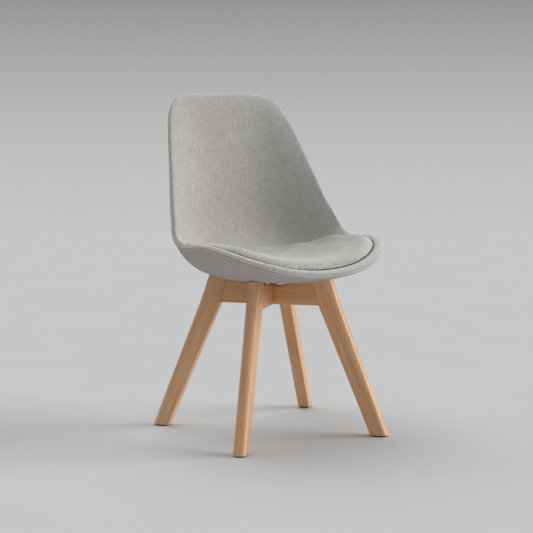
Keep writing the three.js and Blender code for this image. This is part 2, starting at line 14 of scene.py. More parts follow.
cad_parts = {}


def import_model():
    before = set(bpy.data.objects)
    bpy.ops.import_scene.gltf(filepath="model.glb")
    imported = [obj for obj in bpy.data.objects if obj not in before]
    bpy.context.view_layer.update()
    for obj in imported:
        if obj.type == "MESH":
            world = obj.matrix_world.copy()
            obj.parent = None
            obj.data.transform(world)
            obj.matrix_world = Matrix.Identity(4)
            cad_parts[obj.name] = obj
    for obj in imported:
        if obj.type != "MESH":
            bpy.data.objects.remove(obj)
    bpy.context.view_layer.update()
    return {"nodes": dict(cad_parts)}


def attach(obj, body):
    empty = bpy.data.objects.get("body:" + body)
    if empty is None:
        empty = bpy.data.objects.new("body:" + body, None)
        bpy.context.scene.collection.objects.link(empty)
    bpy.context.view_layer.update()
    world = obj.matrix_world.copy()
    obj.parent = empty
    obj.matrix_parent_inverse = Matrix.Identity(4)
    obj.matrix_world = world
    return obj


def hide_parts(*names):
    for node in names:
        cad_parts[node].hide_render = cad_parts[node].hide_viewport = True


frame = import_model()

METRE = 0.001
BODY = "root"

# Shell: the same stations, shares and layers as in the part's drawing
OVERALL_HEIGHT = 825
SEAT_HALF_WIDTH = 240
FRONT_REACH = 262.5
BACK_REACH = 255.5
WING_LIFT = 153
SHELL_LOW_HEIGHT = 379
INNER_FACE = 12
OUTER_FACE = 9.5
INNER_FOAM_FACE = 9.8
HALF_CORE = 2.5
FIT_GAP = 0.3
COVER_THICKNESS = 1.9
FOAM_WRAP_INSET = 14
CORE_INSET = 8
RIM_BAND = 16
ROLL_RADIUS = (INNER_FACE + OUTER_FACE) / 2
ROLL_MIDDLE = (INNER_FACE - OUTER_FACE) / 2
# The foam thins towards the rim, over this width on the sitter's side
SOFT_EDGE_STATIONS = (2.5, 4.5, 8, 9)
SOFT_EDGE_WIDTHS = (17, 60, 60, 30)
SOFT_EDGE_POWERS = (2, 1.6, 1.6, 1.8)
SOFT_EDGE_MARGIN = 4

SPINE_REACH_SHARES = np.array([-1, -0.718, -0.375, 0.006, 0.322, 0.565, 0.723, 0.829, 0.914, 1])
SPINE_RISE_SHARES = np.array([0.074, 0.038, 0.0135, 0.006, 0.0315, 0.119, 0.262, 0.486, 0.751, 1])
HALF_WIDTH_SHARES = np.array([0.942, 0.983, 0.996, 0.992, 0.973, 0.945, 0.92, 0.847, 0.744, 0.624])
LIFT_SHARES = np.array([0.6, 0.607, 0.597, 0.6, 0.787, 0.969, 1, 0.927, 0.798, 0.612])
CROSS_POWERS = np.array([2.3, 2.4, 2.7, 3.45, 4.4, 4.1, 3.4, 2.6, 2.85, 3.5])
HEM_TURN_SHARES = np.array([0.6, 0.42, 0.36, 0.72, 0.8, 0.8, 0.8, 0.8, 0.8, 0.8])
LAST_STATION = len(CROSS_POWERS) - 1
FRONT_ROUND = (0.2633, 2.35)
TOP_ROUND = (0.1022, 3.59)
RIB_CENTRE_SHARES = (0.1333, 0.9111)
STATION_STEP = 0.004
LOW_STATION = 3
HEIGHT_ROUNDS = 30
SPINE_SAMPLES = 901
SPINE_END_SAMPLES = 19
CLOTH_STEPS = 24

# Ribs run from the spine to the rim, and rings cross them. Where the rim turns by a radian, it
# gets as many more ribs as this length would
TURN_SPACING = 60
RIM_SAMPLES = 1600
RIBS_PER_SIDE = 96
SEAM_RIBS_PER_SIDE = 260
INNER_RINGS = np.linspace(0, 1, 20)
ROLL_STEPS = 12
UNDER_ROLL_STEPS = 6
WELD_DISTANCE = 0.02

# The covers meet in a groove, and the cloth of each is folded in there
GROOVE_WIDTH = 0.8
FOLD_RADIUS = 0.6
FOLD_TURNS = (0, 35, 70)
ROLL_END = 1.5 * FOLD_RADIUS

# A light piping runs along each side of the groove; a darker tube lies in it as painted shade
PIPING_RADIUS = 1.15
PIPING_DEPTH = 0.3
PIPING_FROM_HEM = 2.9
GROOVE_SHADE_RADIUS = 1.0
GROOVE_SHADE_DEPTH = 1.1
SEAM_SIDES = 8

# Seat pad
PAD_HALF_WIDTH = 226
PAD_HEIGHT = 31
PAD_CENTRE_SHARE = 0.3111
PAD_FRONT_SHARE = 0.2667
PAD_REAR_SHARE = 0.2333
PAD_FRONT_POWER = 2.9
PAD_REAR_POWER = 2.4
PAD_SECTION_SHARES = np.array([
    (0, 1), (0.35, 1), (0.62, 0.985), (0.8, 0.955), (0.9, 0.9),
    (0.96, 0.78), (0.986, 0.58), (1, 0.32), (1.003, 0.12), (1, 0),
])
# Height near the edge, by the angle from the sides (0) to the front (-90) and the rear (90)
PAD_TURNS = (-90, -35, -10, 15, 32, 50, 68, 90)
PAD_TURN_HEIGHTS = (1.04, 1.04, 0.88, 0.8, 1.06, 1.12, 0.62, 0.38)
PAD_AROUND = 120
PAD_SECTION_STEPS = 42
PAD_BOTTOM_SHARES = (0.8, 0.5, 0)
# A dark tube along the pad's edge is painted shade, for the shadow in the gap between pad and seat
PAD_SHADOW_LINE_SHARE = 1.006
PAD_SHADOW_LINE_HEIGHT = 0.9
PAD_SHADOW_LINE_RADIUS = 1.5
PAD_SHADOW_LINE_LENGTH = 1300
PAD_SHADOW_LINE_AROUND = 400
PAD_SHADOW_LINE_SIDES = 10

# The pad is cut lower by PAD_SWELL, because stuffing it lifts its crown by about as much. No point
# moves further than the cap, and towards the edge the moves fade over a share of the way
PAD_SWELL = 2
PAD_SWELL_CAP = 6
PAD_EDGE_HOLD = 0.12
STUFFING = {
    "quality": 6, "mass": 0.3, "tension_stiffness": 30, "compression_stiffness": 30,
    "shear_stiffness": 12, "bending_stiffness": 12, "use_pressure": True,
    "uniform_pressure_force": 4, "vertex_group_mass": "held",
}
STUFFING_FRAMES = 20
STUFFING_VOXEL = 5
STUFFING_SMOOTHING = (0.5, 4)
STUFFING_HELD_HEIGHT = 2
STUFFING_EVEN_ROUNDS = 24
STUFFING_NEIGHBOURS = 10

# Base
BASE_OFFSET = 1.5
FOOT_RADIUS = 275.5
SHOULDER_RADIUS = 150.5
FOOT_WIDTH = 41
SHOULDER_WIDTH = 52.4
LEG_THICKNESS = 30
LEG_INNER_EDGE = 3
LEG_OUTER_EDGE = 12
RAIL_BOTTOM = 313
RAIL_DEPTH = 44
RAIL_TOP = RAIL_BOTTOM + RAIL_DEPTH
RAIL_TINT = (0.96, 0.87, 0.72)
LEAN_HEIGHT = (RAIL_BOTTOM + RAIL_TOP) / 2
LEG_RINGS = 12
LEG_CORNER_POINTS = 9
LEG_SHARP_ANGLE = math.radians(40)
LEG_EASED_ANGLE = math.radians(50)
LEG_EASING = 1.0
JOINT_LEAN_SHARE = 0.303
LEG_TOP_CLEARANCE = 1.5
SOLE_HEIGHT = 2.8
SPACER_HOLE_RADIUS = 13
SPACER_HOLE_SIDES = 32
SPACER_HOLE_HEIGHTS = (340, 420)
SCREW_CIRCLE_RADIUS = 75
# Each arm of the base: its angle, and how far its foot stands to the side
ARMS = {
    "rear_left": (45, -23), "rear_right": (135, 23),
    "front_right": (225, 3), "front_left": (315, -3),
}


# Shell surface

def spline(table):
    """Curve through a table's rows at whole stations, as a function of station."""
    rows = np.asarray(table, float).reshape(len(table), -1)
    ends = np.vstack([rows[0], rows, rows[-1]])

    def at(station):
        station = np.clip(np.asarray(station, float), 0, len(rows) - 1 - 1e-9)
        i = station.astype(int)
        t = (station - i)[..., None]
        a, b, c, d = ends[i], ends[i + 1], ends[i + 2], ends[i + 3]
        return 0.5 * (2 * b + (c - a) * t + (2 * a - 5 * b + 4 * c - d) * t**2
                      + (3 * b - a - 3 * c + d) * t**3)
    return at


spine_at = spline(np.stack([
    SPINE_REACH_SHARES * np.where(SPINE_REACH_SHARES < 0, FRONT_REACH, BACK_REACH),
    SHELL_LOW_HEIGHT + SPINE_RISE_SHARES * (OVERALL_HEIGHT - SHELL_LOW_HEIGHT),
], 1))
half_width_law = spline(HALF_WIDTH_SHARES * SEAT_HALF_WIDTH)
lift_law = spline(LIFT_SHARES * WING_LIFT)
power_law = spline(CROSS_POWERS)
hem_law = spline(HEM_TURN_SHARES)


def end_rounding(way, round_share, power):
    """Share of the width near an end: it falls to nothing over round_share of the way."""
    beyond = np.clip(1 - way / round_share, 0, 1)
    return (1 - beyond**power) ** (1 / power)


def half_width_at(station):
    way = station / LAST_STATION
    return (half_width_law(station)[..., 0] * end_rounding(way, *FRONT_ROUND)
            * end_rounding(1 - way, *TOP_ROUND))


def core_point(across, station):
    """Point on the middle of the moulded core."""
    across, station = np.broadcast_arrays(np.asarray(across, float), np.asarray(station, float))
    here = spine_at(station)
    ahead = spine_at(np.minimum(station + STATION_STEP, LAST_STATION))
    behind = spine_at(np.maximum(station - STATION_STEP, 0))
    along = ahead - behind
    along /= np.linalg.norm(along, axis=-1, keepdims=True)
    rise = np.abs(across / SEAT_HALF_WIDTH) ** power_law(station)[..., 0]
    lift = lift_law(station)[..., 0] * rise
    return np.stack([across, here[..., 0] - along[..., 1] * lift,
                     here[..., 1] + along[..., 0] * lift], -1)


def shell_normal(across, station):
    """Direction towards the sitter."""
    step = SEAT_HALF_WIDTH * STATION_STEP
    sideways = core_point(across + step, station) - core_point(across - step, station)
    forwards = (core_point(across, np.minimum(station + STATION_STEP, LAST_STATION))
                - core_point(across, np.maximum(station - STATION_STEP, 0)))
    normal = np.cross(sideways, forwards)
    return normal / np.linalg.norm(normal, axis=-1, keepdims=True)


def shell_point(across, station, offset):
    """Point of a layer, at an offset from the middle of the core towards the sitter."""
    normal = shell_normal(across, station)
    return core_point(across, station) + normal * np.asarray(offset, float)[..., None]


def shell_height(x, y, offset):
    """Height of a layer of the shell over a place on the floor."""
    across, station = float(x), float(LOW_STATION)
    for _ in range(HEIGHT_ROUNDS):
        point = shell_point(np.array(across), np.array(station), np.array(offset))
        across += x - point[0]
        station += (y - point[1]) / (FRONT_REACH / LOW_STATION)
    return float(shell_point(np.array(across), np.array(station), np.array(offset))[2])


class Ribs:
    """Lines from the spine out to points on the rim, all the way round, closer where it turns."""

    def __init__(self, per_side):
        station = LAST_STATION * (1 - np.cos(np.linspace(0, math.pi, RIM_SAMPLES))) / 2
        steps = np.diff(core_point(half_width_at(station), station), axis=0)
        sizes = np.linalg.norm(steps, axis=1)
        ahead = steps / sizes[:, None]
        turns = np.arccos(np.clip((ahead[1:] * ahead[:-1]).sum(1), -1, 1))
        spacing = sizes + TURN_SPACING * np.concatenate([[0], turns])
        length = np.concatenate([[0], np.cumsum(spacing)])
        side = np.interp(np.linspace(0, length[-1], per_side + 1), length, station)
        centre = np.linspace(*RIB_CENTRE_SHARES, per_side + 1) * LAST_STATION
        across = half_width_at(side)
        self.station = np.concatenate([side, side[-2:0:-1]])
        self.centre = np.concatenate([centre, centre[-2:0:-1]])
        self.across = np.concatenate([across, -across[-2:0:-1]])
        near = 1 - STATION_STEP
        gap = core_point(*self.place(1)) - core_point(*self.place(near))
        self.reach = np.linalg.norm(gap, axis=-1) / STATION_STEP
        self.hem = -hem_law(self.station)[..., 0] * math.pi / 2
        self.soft_edge = np.interp(self.station, SOFT_EDGE_STATIONS, SOFT_EDGE_WIDTHS)
        self.soft_power = np.interp(self.station, SOFT_EDGE_STATIONS, SOFT_EDGE_POWERS)
        rim = core_point(self.across, self.station)
        gaps = np.linalg.norm(rim - np.roll(rim, 1, axis=0), axis=1)
        self.run = np.cumsum(gaps) - gaps[0]

    def place(self, share):
        """Places at a share of the way from the spine to the rim."""
        return self.across * share, self.centre + (self.station - self.centre) * share

    def inset_share(self, inset):
        """Share of the way at a distance in from the rim."""
        return 1 - inset / self.reach

    def ring_share(self, ring):
        """Share of the way of a ring: ring 1 runs along the inside of the rim's band."""
        return ring * (1 - RIM_BAND / self.reach)

    def soft_share(self, ring):
        """The same on the sitter's side, where ring 1 runs along the soft edge."""
        return ring * (1 - (self.soft_edge + SOFT_EDGE_MARGIN) / self.reach)


def spine_lengths():
    """Stations along the spine, and its length up to each."""
    station = np.linspace(0, LAST_STATION, SPINE_SAMPLES)
    point = spine_at(station)
    steps = np.linalg.norm(np.diff(point, axis=0), axis=1)
    return station, np.concatenate([[0], np.cumsum(steps)])


SPINE_STATIONS, SPINE_LENGTHS = spine_lengths()


def length_at(station):
    """Length of the spine up to a station, carried on straight beyond its ends."""
    near_end = -1 - SPINE_END_SAMPLES
    last = ((SPINE_LENGTHS[-1] - SPINE_LENGTHS[near_end])
            / (SPINE_STATIONS[-1] - SPINE_STATIONS[near_end]))
    first = SPINE_LENGTHS[SPINE_END_SAMPLES] / SPINE_STATIONS[SPINE_END_SAMPLES]
    beyond = np.maximum(station - LAST_STATION, 0) * last + np.minimum(station, 0) * first
    return np.interp(station, SPINE_STATIONS, SPINE_LENGTHS) + beyond


def station_at(length):
    return np.interp(length, SPINE_LENGTHS, SPINE_STATIONS)


def cloth_place(across, station):
    """Where a point of the shell lies on its cloth when that is laid flat, in millimetres."""
    steps = np.linspace(0, 1, CLOTH_STEPS + 1)[1:]
    inside = np.clip(station, 0, LAST_STATION)
    lift, power = lift_law(inside)[..., 0], power_law(inside)[..., 0]
    share = np.abs(across)[..., None] * (steps - steps[0] / 2) / SEAT_HALF_WIDTH
    slope = lift[..., None] * power[..., None] * share ** (power[..., None] - 1) / SEAT_HALF_WIDTH
    stretch = np.sqrt(1 + slope**2).mean(-1)
    return np.stack([across * stretch, length_at(station)], -1)


# Meshes

def lay_on_cloth(mesh, cloth):
    """The places of the points on their flat cloth, in millimetres, as a UV map in metres."""
    corners = np.empty(len(mesh.loops), int)
    mesh.loops.foreach_get("vertex_index", corners)
    layer = mesh.uv_layers.new(name="weave")
    layer.data.foreach_set("uv", (np.asarray(cloth)[corners] * METRE).ravel())


def to_object(name, points, faces, material, cloth=None):
    """Object in metres from points in millimetres, with the place on the cloth as its UV map."""
    mesh = bpy.data.meshes.new(name)
    mesh.from_pydata((np.asarray(points) * METRE).tolist(), [], faces)
    if cloth is not None:
        lay_on_cloth(mesh, cloth)
    mesh.shade_smooth()
    mesh.materials.append(material)
    obj = bpy.data.objects.new(name, mesh)
    bpy.context.scene.collection.objects.link(obj)
    return obj


def weld(obj):
    """Joins points that meet and turns all faces outwards."""
    bm = bmesh.new()
    bm.from_mesh(obj.data)
    bmesh.ops.remove_doubles(bm, verts=bm.verts, dist=WELD_DISTANCE * METRE)
    bmesh.ops.dissolve_degenerate(bm, edges=bm.edges, dist=1e-6)
    bmesh.ops.recalc_face_normals(bm, faces=bm.faces)
    bm.to_mesh(obj.data)
    bm.free()
    obj.data.shade_smooth()
    return obj


def ring_faces(rings, around, closed=False):
    """Quads between rings of points; closed joins the last ring to the first."""
    faces = []
    for ring in range(rings if closed else rings - 1):
        for i in range(around):
            a, b = ring * around + i, ring * around + (i + 1) % around
            c, d = (a + around) % (rings * around), (b + around) % (rings * around)
            faces.append((a, b, d, c))
    return faces


def capped_faces(rings, around):
    """Quads between rings of points, and a face over the first ring and the last."""
    last = (rings - 1) * around
    caps = [tuple(range(around - 1, -1, -1)), tuple(range(last, last + around))]
    return ring_faces(rings, around) + caps


def subdivide(obj):
    modifier = obj.modifiers.new("smooth", "SUBSURF")
    modifier.levels = modifier.render_levels = 1
    return obj


def baked(obj):
    """The object's mesh with its modifiers applied."""
    graph = bpy.context.evaluated_depsgraph_get()
    mesh = bpy.data.meshes.new_from_object(obj.evaluated_get(graph))
    obj.modifiers.clear()
    obj.data = mesh
    return obj


def coordinates(mesh):
    """Points of a mesh, in metres."""
    points = np.empty(len(mesh.vertices) * 3)
    mesh.vertices.foreach_get("co", points)
    return points.reshape(-1, 3)


def place_piece(obj, slot, *nodes):
    """Sets the body of a piece, and hides the frame nodes that it takes the place of. The slot is
    not used.
    """
    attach(obj, BODY)
    if nodes:
        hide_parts(*nodes)
    return obj


# Materials

def add_node(tree, kind, inputs=(), **settings):
    """Node with its settings. An input is linked where a socket is given, else set."""
    node = tree.nodes.new(kind)
    for key, value in settings.items():
        setattr(node, key, value)
    for socket, value in dict(inputs).items():
        if isinstance(value, bpy.types.NodeSocket):
            tree.links.new(value, node.inputs[socket])
        else:
            node.inputs[socket].default_value = value
    return node


def add_ramp(tree, value, stops):
    """Colour of a value by its place between stops of position and colour."""
    node = add_node(tree, "ShaderNodeValToRGB", {"Fac": value})
    elements = node.color_ramp.elements
    while len(elements) < len(stops):
        elements.new(0.5)
    for element, (position, colour) in zip(elements, stops):
        element.position = position
        element.color = (*colour, 1)
    return node.outputs["Color"]


class Finish:
    """A node material round one Principled shader."""

    def __init__(self, name, **sockets):
        self.material = bpy.data.materials.new(name)
        self.material.use_nodes = True
        self.tree = self.material.node_tree
        self.shader = self.tree.nodes["Principled BSDF"]
        for socket, value in sockets.items():
            self.shader.inputs[socket.replace("_", " ")].default_value = value

    def add(self, kind, inputs=(), **settings):
        return add_node(self.tree, kind, inputs, **settings)

    def set(self, socket, value):
        self.tree.links.new(value, self.shader.inputs[socket])

    def weave(self):
        """Place on the flat cloth."""
        return self.add("ShaderNodeUVMap", uv_map="weave").outputs["UV"]

    def place(self):
        return self.add("ShaderNodeTexCoord").outputs["Object"]

    def mapped(self, vector, scale=(1, 1, 1), rotation=(0, 0, 0), location=(0, 0, 0)):
        inputs = {"Vector": vector, "Scale": scale, "Rotation": rotation, "Location": location}
        return self.add("ShaderNodeMapping", inputs).outputs["Vector"]

    def noise(self, vector, detail=2.0, roughness=0.5, distortion=0.0, output="Fac"):
        inputs = {"Vector": vector, "Scale": 1.0, "Detail": detail, "Roughness": roughness,
                  "Distortion": distortion}
        return self.add("ShaderNodeTexNoise", inputs).outputs[output]

    def math(self, operation, a, b=0.0):
        return self.add("ShaderNodeMath", {0: a, 1: b}, operation=operation).outputs[0]

    def range(self, value, low, high, to_low=0.0, to_high=1.0):
        inputs = {"Value": value, "From Min": low, "From Max": high,
                  "To Min": to_low, "To Max": to_high}
        return self.add("ShaderNodeMapRange", inputs).outputs["Result"]

    def ramp(self, value, *stops):
        return add_ramp(self.tree, value, stops)

    def mix(self, factor, a, b, blend="MIX"):
        """Mix of two colours, each a socket or three values."""
        a, b = [c if isinstance(c, bpy.types.NodeSocket) else (*c, 1) for c in (a, b)]
        inputs = {0: factor, 6: a, 7: b}
        return self.add("ShaderNodeMix", inputs, data_type="RGBA", blend_type=blend).outputs[2]

    def pick(self, factor, a, b):
        """Mix of two plain values."""
        return self.add("ShaderNodeMix", {0: factor, 2: a, 3: b}, data_type="FLOAT").outputs[0]

    def bump(self, height, distance, strength, under=None):
        inputs = {"Height": height, "Distance": distance, "Strength": strength}
        if under is not None:
            inputs["Normal"] = under
        return self.add("ShaderNodeBump", inputs).outputs["Normal"]


def linear(*values):
    """Colour in the renderer's units from the 0 to 255 of a picture."""
    shares = np.array(values) / 255
    return tuple(np.where(shares <= 0.04045, shares / 12.92, ((shares + 0.055) / 1.055) ** 2.4))


def woven(name, dark, middle, light, pitch, slub, fuzz, melange_depth=0.04):
    """Plain-woven cloth: threads with slubs both ways, mixed yarn, mottled tone and a soft nap.

    The pitch of its threads is in metres, and each scale of noise is per metre.
    """
    finish = Finish(name, Roughness=0.93, Specular_IOR_Level=0.2, Sheen_Weight=0.12,
                    Sheen_Roughness=0.6)
    flat = finish.weave()
    wander = finish.noise(finish.mapped(flat, (90, 90, 1)), detail=2, output="Color")
    shift = finish.add("ShaderNodeVectorMath", {0: wander, "Scale": 0.9 * pitch}, operation="SCALE")
    bent = finish.add("ShaderNodeVectorMath", {0: flat, 1: shift.outputs[0]}, operation="ADD")
    turns = finish.mapped(bent.outputs[0], (math.pi / pitch,) * 3)
    axes = finish.add("ShaderNodeSeparateXYZ", {"Vector": turns})
    across, along = [finish.math("SINE", axes.outputs[axis]) for axis in ("X", "Y")]
    on_top = finish.range(finish.math("MULTIPLY", across, along), -0.12, 0.12)
    warp, weft = [finish.math("ABSOLUTE", wave) for wave in (across, along)]
    height = finish.pick(on_top, weft, warp)

    warp_slub = finish.noise(finish.mapped(flat, (520, 30, 1)), detail=3, roughness=0.62)
    weft_place = finish.mapped(flat, (34, 560, 1), location=(3, 7, 0))
    weft_slub = finish.noise(weft_place, detail=3, roughness=0.62)
    streak = finish.pick(on_top, weft_slub, warp_slub)
    spread = finish.range(streak, 0.5 - slub, 0.5 + slub)
    yarn = finish.ramp(spread, (0.0, dark), (0.5, middle), (1.0, light))
    mottle = finish.noise(finish.mapped(flat, (55, 55, 1)), detail=4, roughness=0.6)
    toned = finish.mix(finish.range(mottle, 0.35, 0.7, 0.0, 0.18), yarn, dark)
    # Painted shade: the cloth is darker between the threads, where the weave's hollows fall in
    # shade
    gap = finish.range(height, 0.0, 0.6, 0.78, 1.0)
    melange = finish.noise(finish.mapped(flat, (420,) * 3), detail=3, roughness=0.7)
    tone = finish.range(melange, 0.3, 0.7, 1 - melange_depth, 1 + melange_depth)
    level = finish.math("MULTIPLY", gap, tone)
    grey = finish.add("ShaderNodeCombineColor", {"Red": level, "Green": level, "Blue": level})
    finish.set("Base Color", finish.mix(1.0, toned, grey.outputs["Color"], "MULTIPLY"))
    finish.set("Roughness", finish.range(mottle, 0.3, 0.7, 0.88, 0.97))

    nap = finish.noise(finish.mapped(flat, (1500, 1500, 1)), detail=2)
    thick, fuzzy = finish.math("MULTIPLY", height, 0.6), finish.math("MULTIPLY", nap, fuzz)
    threads = finish.bump(finish.math("ADD", thick, fuzzy), 0.0006, 0.7)
    lumps = finish.math("ADD", warp_slub, weft_slub)
    finish.set("Normal", finish.bump(lumps, 0.0009, 0.55, threads))
    return finish.material


BEECH_DARK = linear(206, 149, 98)
BEECH_MIDDLE = linear(226, 173, 121)
BEECH_LIGHT = linear(238, 195, 146)
BEECH_RING = linear(184, 120, 72)
BEECH_FIBRE = linear(243, 207, 165)
BEECH_FLECK = linear(142, 90, 54)


def beech(name, grain, seed, tint=(1, 1, 1)):
    """Oiled beech. grain is the direction of its fibres, and seed gives each piece its own."""
    finish = Finish(name, Roughness=0.42, Specular_IOR_Level=0.5, Coat_Weight=0.5,
                    Coat_Roughness=0.36)
    turn = Vector(grain).rotation_difference(Vector((0, 0, 1))).to_euler()
    shift = (seed * 0.37, seed * 0.11, seed * 0.23)
    local = finish.mapped(finish.place(), rotation=turn, location=shift)
    figure = finish.noise(finish.mapped(local, (62, 62, 2.4)), detail=3, roughness=0.55,
                          distortion=0.5)
    rings = finish.noise(finish.mapped(local, (210, 210, 4.5)), detail=2, roughness=0.6,
                         distortion=0.3)
    fibre = finish.noise(finish.mapped(local, (900, 900, 16)), detail=3, roughness=0.6)
    fleck = finish.noise(finish.mapped(local, (620, 620, 120)), detail=1)
    broad = finish.ramp(figure, (0.28, BEECH_DARK), (0.5, BEECH_MIDDLE), (0.72, BEECH_LIGHT))
    line = finish.mix(finish.range(rings, 0.42, 0.66, 0.0, 0.5), broad, BEECH_RING)
    thread = finish.mix(finish.range(fibre, 0.35, 0.7, 0.0, 0.38), line, BEECH_FIBRE)
    spots = finish.mix(finish.range(fleck, 0.63, 0.72, 0.0, 0.5), thread, BEECH_FLECK)
    finish.set("Base Color", finish.mix(1.0, spots, tint, "MULTIPLY"))
    finish.set("Roughness", finish.range(fibre, 0.3, 0.7, 0.36, 0.5))
    pores = finish.bump(fibre, 0.0004, 0.35)
    finish.set("Normal", finish.bump(figure, 0.0012, 0.25, pores))
    return finish.material


def moulded(name, colour, roughness, grain=1400):
    """Moulded plastic, rubber or foam: a fine grain and a faint change of tone."""
    finish = Finish(name, Roughness=roughness)
    local = finish.place()
    fine = finish.noise(finish.mapped(local, (grain,) * 3), detail=2)
    broad = finish.noise(finish.mapped(local, (40,) * 3), detail=3)
    low = tuple(0.8 * c for c in colour)
    finish.set("Base Color", finish.mix(finish.range(broad, 0.3, 0.7), low, colour))
    finish.set("Roughness", finish.range(fine, 0.3, 0.7, roughness - 0.06, roughness + 0.06))
    finish.set("Normal", finish.bump(fine, 0.0003, 0.5))
    return finish.material


def metal(name, colour, roughness):
    """Turned and plated metal with fine marks."""
    finish = Finish(name, Roughness=roughness, Metallic=1.0)
    local = finish.place()
    marks = finish.noise(finish.mapped(local, (900, 900, 5000)), detail=3)
    stain = finish.noise(finish.mapped(local, (160,) * 3), detail=3)
    low = tuple(0.75 * c for c in colour)
    finish.set("Base Color", finish.mix(finish.range(stain, 0.35, 0.65), low, colour))
    finish.set("Roughness", finish.range(marks, 0.3, 0.7, roughness - 0.08, roughness + 0.08))
    finish.set("Normal", finish.bump(marks, 0.0001, 0.4))
    return finish.material


linen = woven("linen_weave", linear(172, 169, 165), linear(199, 196, 192), linear(220, 218, 215),
              pitch=0.0013, slub=0.18, fuzz=0.5, melange_depth=0.26)
under_cloth = woven("under_cloth_weave", linear(182, 173, 172), linear(196, 187, 186),
                    linear(208, 200, 198), pitch=0.0009, slub=0.25, fuzz=0.6)
# Cloth darker than the linen for the tube in the rim's groove: painted shade of the groove
groove_shade_cloth = woven("groove_shade_weave", linear(164, 157, 154), linear(178, 171, 168),
                        linear(192, 185, 181), pitch=0.0009, slub=0.3, fuzz=0.4)
# Dark cloth of the tube along the pad's edge: painted shade of the gap between pad and seat
pad_shadow_cloth = woven("pad_shadow_weave", linear(66, 61, 57), linear(80, 75, 71),
                       linear(96, 91, 86), pitch=0.0009, slub=0.3, fuzz=0.4)
piping_cloth = woven("piping_weave", linear(206, 200, 196), linear(226, 220, 216),
                     linear(238, 234, 230), pitch=0.0008, slub=0.2, fuzz=0.4)
foam = moulded("foam_cells", linear(226, 216, 178), 0.95, 700)
shell_plastic = moulded("shell_plastic", linear(42, 42, 45), 0.5)
rubber = moulded("foot_rubber", linear(34, 33, 34), 0.8)
steel = metal("zinc_steel", linear(186, 188, 190), 0.34)
brass = metal("brass", linear(190, 155, 88), 0.36)


# Upholstered shell

class Layer:
    """Rings of points on a layer of the shell, with their places on the flat cloth."""

    def __init__(self, ribs):
        self.ribs, self.points, self.cloth = ribs, [], []

    def ring(self, share, offset, cloth_share=None):
        across, station = self.ribs.place(share)
        offset = np.broadcast_to(np.asarray(offset, float), across.shape)
        self.points.append(shell_point(across, station, offset))
        flat_across, flat_station = self.ribs.place(share if cloth_share is None else cloth_share)
        self.cloth.append(cloth_place(flat_across, flat_station))

    def inner(self, offset, rings):
        """Rings of the sitter's side, up to the soft edge."""
        for ring in rings:
            share = self.ribs.soft_share(ring)
            self.ring(share, offset + ripple(*self.ribs.place(share)))

    def build(self, name, material):
        points, cloth = np.concatenate(self.points), np.concatenate(self.cloth)
        faces = ring_faces(len(self.points), len(self.ribs.across))
        return weld(to_object(name, points, faces, material, cloth))


def ripple(across, station):
    """Slight unevenness of cloth over foam, in millimetres."""
    u, v = across / 100, length_at(station) / 100
    return (0.35 * np.sin(2.1 * u + 0.9 * v + 0.4) * np.sin(1.7 * v - 0.6 * u)
            + 0.2 * np.sin(4.3 * u - 1.1 * v) * np.sin(3.1 * v + 1.3))


def roll_ring(layer, angle, depth):
    """Ring at a depth in the edge. The angle is a quarter turn up at the sitter's side, and a
    quarter turn down at the outside."""
    across, up = np.cos(angle), np.sin(angle)
    width = np.where(up > 0, layer.ribs.soft_edge, ROLL_RADIUS)
    bend = np.where(up > 0, 2 / layer.ribs.soft_power, 1)
    inset = width - (width - depth) * np.abs(across) ** bend
    cloth_inset = np.where(up > 0, inset, ROLL_RADIUS * angle)
    layer.ring(layer.ribs.inset_share(inset),
               ROLL_MIDDLE + (ROLL_RADIUS - depth) * np.sign(up) * np.abs(up) ** bend,
               layer.ribs.inset_share(cloth_inset))


def add_roll(layer, start, end, depth, steps):
    """Rings from one angle on the round edge to another."""
    for i in range(steps + 1):
        roll_ring(layer, start + (end - start) * i / steps, depth)


def add_fold(layer, hem, side):
    """The cloth's edge turned in at the hem: side is 1 for the cover above it and -1 below."""
    for turn in np.radians(FOLD_TURNS):
        along = FOLD_RADIUS * (1 - math.sin(turn)) * side / ROLL_RADIUS
        roll_ring(layer, hem + along, FOLD_RADIUS * (1 - math.cos(turn)))


def liner_cloth(ribs):
    """Linen of the sitter's side, pulled over the rim to its hem."""
    sheet = Layer(ribs)
    top = math.pi / 2
    edge = ribs.hem + GROOVE_WIDTH / 2 / ROLL_RADIUS
    sheet.inner(INNER_FACE, INNER_RINGS)
    add_roll(sheet, top, edge + ROLL_END / ROLL_RADIUS, 0, ROLL_STEPS)
    add_fold(sheet, edge, 1)
    add_roll(sheet, edge, top, COVER_THICKNESS, ROLL_STEPS)
    sheet.inner(INNER_FACE - COVER_THICKNESS, INNER_RINGS[::-1])
    return subdivide(sheet.build("liner_cloth", linen))


def liner_foam(ribs):
    """Foam between the linen and the moulded core, wrapped round the core's edge."""
    wad = Layer(ribs)
    top = math.pi / 2
    under_cover = COVER_THICKNESS + FIT_GAP
    over_core = HALF_CORE + FIT_GAP
    wrap_end = ribs.inset_share(FOAM_WRAP_INSET)
    core_edge = ribs.inset_share(CORE_INSET - FIT_GAP)
    wad.inner(INNER_FOAM_FACE, INNER_RINGS)
    add_roll(wad, top, -top, under_cover, ROLL_STEPS + UNDER_ROLL_STEPS)
    wad.ring(wrap_end, under_cover - OUTER_FACE)
    wad.ring(wrap_end, -over_core)
    wad.ring(core_edge, -over_core)
    wad.ring(core_edge, over_core)
    for ring in INNER_RINGS[::-1]:
        wad.ring(ribs.ring_share(ring), over_core)
    return wad.build("liner_foam", foam)


